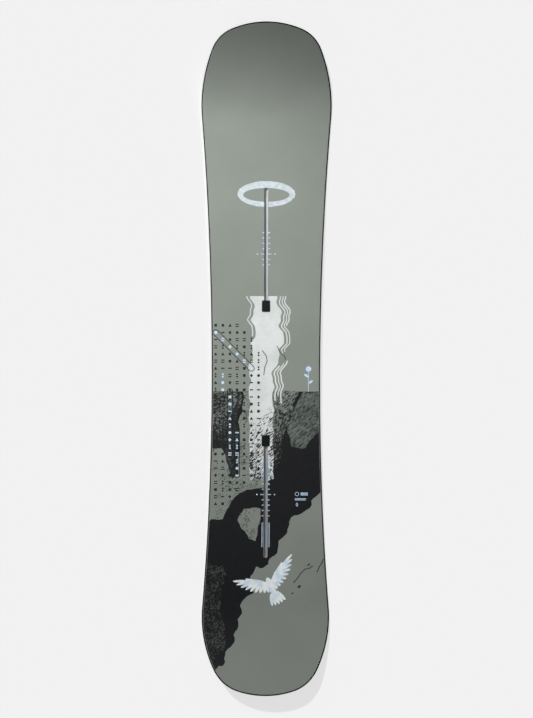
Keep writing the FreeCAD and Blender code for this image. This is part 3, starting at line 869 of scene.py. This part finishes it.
def mark_shapes(rng):
    """A grid of small plain marks on the heel side, with a few runs picked out."""
    kinds = list(MARKS)
    shapes = []

    def cell(column, row):
        return (MARK_FIRST[0] + MARK_PITCH * column, MARK_FIRST[1] - MARK_PITCH * row)

    for row, count in enumerate(MARKS_IN_ROW):
        for column in range(count):
            tone = "blue" if (column, row) in BRIGHT_MARKS else "mark"
            for plan in small_mark(rng.choice(kinds), *cell(column, row)):
                shapes.append((tone, plan))
    for first, last, half in RUN_LOOPS:
        loop = capsule(cell(*first), cell(*last), half)
        shapes.extend(("line", quad) for quad in stroke(loop, RUN_LINE, closed=True))
    return shapes


TICK_PITCH = 12.5
TICK_START = 4.9
TICK_NUMBERS = range(-2, 5)
TICK_REACH = 2.1
TICK_THICK = 0.95
REFERENCE_OUT = 280.0
REFERENCE_REACH = 3.6
DOT_OUT = 20.5
DOT_RADIUS = 1.7
PRINT_SHIFT = -2.4

# The bars along the rear slot: their ends along the board, and how far out they lie.
SLOT_BARS = [(-279.0, -221.0), (-436.0, -378.0)]
SLOT_BARS_OUT = (6.2, 9.0)
SLOT_BAR_HALF = 0.5


def tick_shapes():
    """Stance marks beside each channel, the reference marks longer and with a dot."""
    shapes = []
    for channel in CHANNELS:
        for number in TICK_NUMBERS:
            y = from_stance(channel, REFERENCE_OUT + TICK_PITCH * number) + PRINT_SHIFT
            reach = REFERENCE_REACH if number == 0 else TICK_REACH
            for side in SIDES.values():
                shapes.append(("blue", bar(side * (TICK_START + reach), y, reach, TICK_THICK)))
                if number == 0:
                    dot = ellipse(side * DOT_OUT, y, DOT_RADIUS, DOT_RADIUS, steps=12)
                    shapes.append(("blue", dot))
    for low, high in SLOT_BARS:
        for x in [side * out for side in SIDES.values() for out in SLOT_BARS_OUT]:
            shapes.append(("blue", bar(x, (low + high) / 2, SLOT_BAR_HALF, (high - low) / 2)))
    return shapes


SPRIG_PLACE = (99.0, -47.0)
SYMBOL_PLACE = (73.0, -311.0)
SYMBOL_BAR_THICK = 0.8


def sprig_shapes():
    """A plain sprig: a stem, a round head and two leaves."""
    x, y = SPRIG_PLACE
    loops = [bar(x, y, 0.6, 25.0), ellipse(x, y + 28.0, 6.6, 6.2)]
    loops.append(ellipse(x - 5.0, y + 12.5, 6.0, 2.8, -0.6))
    loops.append(ellipse(x + 5.0, y - 2.0, 6.0, 2.6, 0.6))
    return [("blue", loop) for loop in loops]


def symbol_shapes():
    """A circle, five bars and an oval, in place of the small print on the toe side."""
    x, y = SYMBOL_PLACE
    shapes = [("blue", ellipse(x, y, 4.8, 4.8)), ("rock", ellipse(x, y, 3.7, 3.7))]
    for row in (-2.4, 0.0, 2.4):
        shapes.append(("blue", bar(x + 17.0, y + row, 8.5, SYMBOL_BAR_THICK)))
    for row in (-1.4, 1.4):
        shapes.append(("blue", bar(x + 8.0, y - 12.5 + row, 13.0, SYMBOL_BAR_THICK)))
    shapes.append(("blue", ellipse(x, y - 25.0, 2.4, 4.2)))
    shapes.append(("rock", ellipse(x, y - 25.0, 1.2, 2.8)))
    return shapes


BIRD_PLACE = (11.5, -525.0)
BIRD_TURN = math.radians(25)
FEATHER_STEPS = 14
WING_ARM = [(2, 6), (20, 22), (46, 38), (49, 31), (24, 10), (2, -6)]
WING_FEATHERS = 9

# Where a wing's innermost and outermost feathers are rooted, across and along, and their
# angle from the bird's heading in degrees, their length and their half width.
INNER_FEATHER = (6, 2, 162, 16, 4.4)
OUTER_FEATHER = (44, 30, 66, 32, 3.2)

# The degrees between the tail's feathers, and how far they lie from the bird's place.
TAIL_FAN = 10
TAIL_REACH = 35
TAIL_NUMBERS = range(-2, 3)


def wing_loops(side):
    """One wing: its feathers, from the body out, and the arm that covers their roots."""
    loops = []
    for number in range(WING_FEATHERS):
        share = number / (WING_FEATHERS - 1)
        x, y, lean, long, half_wide = (
            inner + (outer - inner) * share for inner, outer in zip(INNER_FEATHER, OUTER_FEATHER)
        )
        angle = math.radians(90 - side * lean)
        middle = (side * x + math.cos(angle) * long * 0.5, y + math.sin(angle) * long * 0.5)
        loops.append(ellipse(*middle, long * 0.62, half_wide, angle, steps=FEATHER_STEPS))
    loops.append([(side * x, y) for x, y in WING_ARM])
    return loops


def bird_shapes():
    """A plain bird from above: two wings, a fanned tail and a body."""
    loops = [loop for side in SIDES.values() for loop in wing_loops(side)]
    for number in TAIL_NUMBERS:
        angle = math.radians(TAIL_FAN * number - 90)
        middle = (math.cos(angle) * TAIL_REACH, math.sin(angle) * TAIL_REACH)
        loops.append(ellipse(*middle, 15, 4.2, angle, steps=FEATHER_STEPS))
    loops.append(ellipse(0, -4, 23, 8, math.radians(90)))
    c, s = math.cos(BIRD_TURN), math.sin(BIRD_TURN)
    across, along = BIRD_PLACE
    return [("feather", [(across + x * c - y * s, along + x * s + y * c) for x, y in loop])
            for loop in loops]


CRACKS = [
    [(65, -520), (79, -504), (92, -488), (111, -481)],
    [(136, -463), (129, -478), (120, -495)],
]
CRACK_ROUGH = 6.0
CRACK_WIDTH = 2.2

# A pit's place, half length and half width.
PITS = [(79.0, -529.0, 4.5, 3.2), (63.0, -545.0, 2.6, 1.8), (101.0, -477.0, 4.0, 1.8)]
PIT_TURN = 0.6
PIT_ROUGH = 2.0


def crack_shapes(rng):
    """Fine cracks and small pits on the toe side of the tail."""
    shapes = []
    for line in CRACKS:
        rough = roughened(line, CRACK_ROUGH, rng, closed=False)
        shapes.extend(("crack", quad) for quad in stroke(rough, CRACK_WIDTH))
    for pit in PITS:
        loop = roughened(ellipse(*pit, PIT_TURN), PIT_ROUGH, rng, rounds=1)
        shapes.append(("crack", loop))
    return shapes


PRINT_SEED = 155


def printed_shapes():
    """Everything printed on the topsheet, each shape over those before it."""
    rng = random.Random(PRINT_SEED)
    shapes = rock_shapes(rng) + band_shapes(rng) + ring_shapes(rng) + mark_shapes(rng)
    shapes += crack_shapes(rng) + tick_shapes() + sprig_shapes() + symbol_shapes() + bird_shapes()
    return [(INKS.index(name), loop) for name, loop in shapes]


# -------------------------------------------- pieces

RIM_ROUND = 0.14
RIM_MIDDLE = RIM_ROUND * 0.3
RIM_FLAT = 0.7


def make_topsheet():
    """The topsheet, with a rounded rim at its edge and round both openings."""
    levels = [(0.0, TOPSHEET_THICK), (0.0, RIM_ROUND), (RIM_MIDDLE, RIM_MIDDLE),
              (RIM_ROUND, 0.0), (RIM_ROUND + RIM_FLAT, 0.0)]
    outer = [(outline_loop(TOPSHEET_INSET + inset), under_deck(drop)) for inset, drop in levels]
    holes = []
    for channel in CHANNELS:
        plan = opening_plan(channel)
        holes.append([(grown(plan, inset), under_deck(drop)) for inset, drop in levels])
    inks = topsheet_inks()
    piece = plate("topsheet_printed", inks, outer, holes, printed_shapes())
    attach(piece, "board")
    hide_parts("topsheet")


WALL_FOOT = 0.3
WALL_HEAD_INSET = 3.0
BEVEL_INSET = 0.1
BEVEL_DROP = 0.05


def slanted_levels(plan):
    """A wall's rim: upright at its foot, then leaning in to meet the upper laminate."""
    return [
        (plan(0.0), over_base(BASE_LAMINATE_TOP)),
        (plan(0.0), over_base(BASE_LAMINATE_TOP + WALL_FOOT)),
        (plan(WALL_HEAD_INSET), under_deck(CORE_COVER + BEVEL_DROP)),
        (plan(WALL_HEAD_INSET + BEVEL_INSET), under_deck(CORE_COVER)),
    ]


def make_walls(material):
    """Slanted sidewalls along the edges and spacers of the same section at the tips."""
    for side in SIDES:
        levels = slanted_levels(lambda inset: sidewall_plan(side, inset))
        wall = plate(f"{side}_sidewall_slanted", [material], levels)
        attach(wall, "board")
        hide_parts(f"{side}_sidewall")
    for end in ENDS:
        levels = slanted_levels(lambda inset: spacer_plan(end, inset))
        spacer = plate(f"{end}_spacer_slanted", [material], levels)
        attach(spacer, "board")
        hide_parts(f"{end}_spacer")


PLUG_ROUND = 0.7
PLUG_STEPS = 5


def make_plugs(material):
    """Moulded plugs, flush with the deck, with rounded top edges."""
    for channel in CHANNELS:
        ends = [from_stance(channel, CHANNEL_INNER + out) for out in (0.0, PLUG_OPENING_LONG)]
        low, high = min(ends) + PLUG_CLEARANCE, max(ends) - PLUG_CLEARANCE
        half = PLUG_OPENING_WIDE / 2 - PLUG_CLEARANCE
        rim = [(0.0, over_base(CHANNEL_FLOOR + PLUG_OFF_FLOOR))]
        for step in range(PLUG_STEPS + 1):
            angle = math.pi / 2 * step / PLUG_STEPS
            drop = PLUG_ROUND * (1 - math.sin(angle))
            rim.append((PLUG_ROUND * (1 - math.cos(angle)), under_deck(drop)))
        levels = []
        for inset, level in rim:
            corner = PLUG_CORNER - PLUG_CLEARANCE - inset
            plan = rounded_plan(half - inset, low + inset, high - inset, corner)
            levels.append((plan, level))
        plug = plate(f"{channel}_plug_moulded", [material], levels)
        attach(plug, f"{channel}_plug")
        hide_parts(f"{channel}_channel_plug")


# -------------------------------------------- unprinted finishes


def wall_plastic():
    """Black sidewall plastic with the fine lines of a milling cutter."""
    made = Finish("wall_plastic", 0.55, Specular_IOR_Level=0.15)
    lines = made.noise((170.0, 170.0, 0.2))
    made.tint(lines, NARROW_SPAN, (14, 12, 16), (22, 19, 25))
    made.roughen(lines, 0.42, 0.6)
    made.bump(lines, 0.06)
    return made.material


def plug_plastic():
    """Black moulded plastic with a fine spark-eroded grain."""
    made = Finish("plug_plastic", 0.5, Specular_IOR_Level=0.2)
    grain = made.noise(0.4, detail=2.0)
    made.tint(grain, WIDE_SPAN, (8, 9, 11), (15, 16, 19))
    made.roughen(grain, 0.38, 0.55)
    made.bump(grain, 0.05)
    return made.material


def running_base():
    """Black sintered plastic with the long fine structure of a stone grind."""
    made = Finish("running_base", 0.32, Specular_IOR_Level=0.5)
    structure = made.noise((0.5, 140.0, 1000.0), detail=4.0, rough=0.7)
    bloom = made.noise(200.0)
    ground = made.stretch_range(structure, *NARROW_SPAN)
    tone = made.mix(ground, ink(30, 31, 33), ink(46, 47, 50))
    made.colour(made.mix(made.stretch_range(bloom, 0.45, 0.75, 0.0, 0.25), tone, ink(70, 71, 74)))
    made.roughen(structure, 0.26, 0.42)
    made.bump(structure, 0.05)
    return made.material


def ground_steel():
    """Edge steel, ground along its length."""
    made = Finish("ground_steel", 0.3, Metallic=1.0)
    lines = made.noise((0.4, 80.0, 0.4), rough=0.7)
    made.tint(lines, WIDE_SPAN, (168, 170, 172), (206, 208, 210))
    made.roughen(lines, 0.22, 0.4)
    made.bump(lines, 0.03)
    return made.material


def track_metal():
    """Pale anodised metal, drawn along its length."""
    made = Finish("track_metal", 0.42, Metallic=0.85)
    lines = made.noise((0.45, 60.0, 0.45))
    made.tint(lines, WIDE_SPAN, (184, 186, 190), (204, 206, 210))
    made.roughen(lines, 0.36, 0.5)
    made.bump(lines, 0.03)
    return made.material


# The waves of the weave, in radians to the metre.
WEAVE_TURNS = 3100.0


def glass_laminate():
    """Glass cloth in clear resin, with the faint relief of a plain weave."""
    made = Finish("glass_laminate", 0.4, Specular_IOR_Level=0.3)
    split = made.node("ShaderNodeSeparateXYZ")
    made.feed(split.inputs[0], made.place)
    threads = []
    for axis in ("X", "Y"):
        turns = made.math("MULTIPLY", split.outputs[axis], WEAVE_TURNS)
        threads.append(made.math("SINE", turns))
    crossing = made.math("MULTIPLY", made.math("MULTIPLY", *threads), 0.5)
    weave = made.math("ADD", crossing, 0.5)
    made.colour(made.mix(weave, ink(50, 52, 46), ink(76, 78, 70)))
    made.bump(weave, 0.04)
    return made.material


def wood(name, dark, light):
    """Straight-grained wood with the grain along the board."""
    made = Finish(name, 0.6, Specular_IOR_Level=0.3)
    rings = made.noise((6.0, 250.0, 6.0), detail=5.0, rough=0.6)
    pores = made.noise((0.4, 22.0, 0.4), detail=2.0)
    tone = made.mix(made.stretch_range(rings, *NARROW_SPAN), ink(*dark), ink(*light))
    made.colour(made.mix(made.stretch_range(pores, 0.58, 0.7, 0.0, 0.4), tone, ink(*dark)))
    made.bump(pores, 0.08)
    return made.material


def soft_rubber():
    """Dull black rubber."""
    made = Finish("soft_rubber", 0.8, Specular_IOR_Level=0.2)
    grain = made.noise(0.7)
    made.colour(made.mix(grain, ink(22, 22, 23), ink(34, 34, 35)))
    made.bump(grain, 0.04)
    return made.material


def dress_frame():
    """Gives every CAD node its finish, by the record's material slots."""
    by_slot = {
        "glass_laminate": glass_laminate(),
        "base": running_base(),
        "edge_steel": ground_steel(),
        "rubber": soft_rubber(),
        "track_metal": track_metal(),
        "light_wood": wood("light_wood", (176, 138, 92), (208, 174, 126)),
        "pale_wood": wood("pale_wood", (196, 166, 122), (224, 200, 160)),
    }
    for part in frame["record"]["subparts"]:
        if part["material_slot"] in by_slot:
            dress(part["node"], by_slot[part["material_slot"]])


# -------------------------------------------- studio

SENSOR = 36.0
LENS = 59.74
CAMERA_FAR = 2.785
CAMERA_TILT = 0.0223
CAMERA_ROLL = 0.0024
LOOK_AT = (0.0012, 0.0036, 0.0)


def make_camera():
    """The camera looks almost straight down, with the nose at the top of the view."""
    data = bpy.data.cameras.new("camera")
    data.sensor_width = SENSOR
    data.lens = LENS
    camera = add_object("camera", data)
    away = Vector((0.0, math.sin(CAMERA_TILT), math.cos(CAMERA_TILT)))
    turn = Matrix.Rotation(-CAMERA_TILT, 4, "X") @ Matrix.Rotation(CAMERA_ROLL, 4, "Z")
    camera.matrix_world = Matrix.Translation(Vector(LOOK_AT) + away * CAMERA_FAR) @ turn
    bpy.context.scene.camera = camera


FLOOR_HALF = 6.0
FLOOR_DROP = 0.0002
FLOOR_TONE = (236, 236, 236)
FLOOR_GLOW = 0.639


def make_floor():
    """A plain pale floor, just under the board."""
    mesh = bpy.data.meshes.new("floor")
    square = [(-1, -1), (1, -1), (1, 1), (-1, 1)]
    corners = [(x * FLOOR_HALF, y * FLOOR_HALF, -FLOOR_DROP) for x, y in square]
    mesh.from_pydata(corners, [], [(0, 1, 2, 3)])
    floor = add_object("floor", mesh)
    paper = Finish("floor_paper", 0.9, Specular_IOR_Level=0.0, Emission_Color=WHITE,
                   Emission_Strength=FLOOR_GLOW, Base_Color=ink(*FLOOR_TONE))
    floor.data.materials.append(paper.material)
    return floor


LIGHT_SIZE = 0.5
SOFT_LIGHTS = {
    "high_light": {"place": (-1.1, 1.3, 1.82), "aim": (0.0, -0.25, 0.0),
                   "power": 10.95, "spread": math.radians(61.5)},
    "low_light": {"place": (-1.37, 1.66, 0.33), "aim": (0.0, 0.53, 0.0),
                  "power": 3.5, "spread": math.radians(30.1)},
}
SUN_PLACE = (-0.55, 1.12, 1.0)
SUN_POWER = 0.855
SUN_SPREAD = math.radians(2.5)
FILL_STRENGTH = 0.12


def place_light(name, data, place, aim, floor, link_state):
    """Puts a light in the scene, aims it, and includes or excludes the floor from it."""
    light = add_object(name, data)
    light.location = place
    light.rotation_euler = (Vector(aim) - Vector(place)).to_track_quat("-Z", "Y").to_euler()
    light.visible_camera = False
    lit = bpy.data.collections.new(f"{name}_floor")
    lit.objects.link(floor)
    lit.collection_objects[0].light_linking.link_state = link_state
    light.light_linking.receiver_collection = lit


def make_lights(floor):
    """Two soft lights for the board, a sun for the floor alone, and an even fill."""
    for name, light in SOFT_LIGHTS.items():
        data = bpy.data.lights.new(name, "AREA")
        data.size = LIGHT_SIZE
        data.energy = light["power"]
        data.spread = light["spread"]
        place_light(name, data, light["place"], light["aim"], floor, "EXCLUDE")
    data = bpy.data.lights.new("sun", "SUN")
    data.energy = SUN_POWER
    data.angle = SUN_SPREAD
    place_light("sun", data, SUN_PLACE, (0.0, 0.0, 0.0), floor, "INCLUDE")
    world = bpy.data.worlds.new("studio")
    world.use_nodes = True
    background = world.node_tree.nodes["Background"]
    background.inputs["Color"].default_value = WHITE
    background.inputs["Strength"].default_value = FILL_STRENGTH
    bpy.context.scene.world = world
    bpy.context.scene.view_settings.view_transform = "Standard"


make_topsheet()
make_walls(wall_plastic())
make_plugs(plug_plastic())
dress_frame()
make_lights(make_floor())
make_camera()
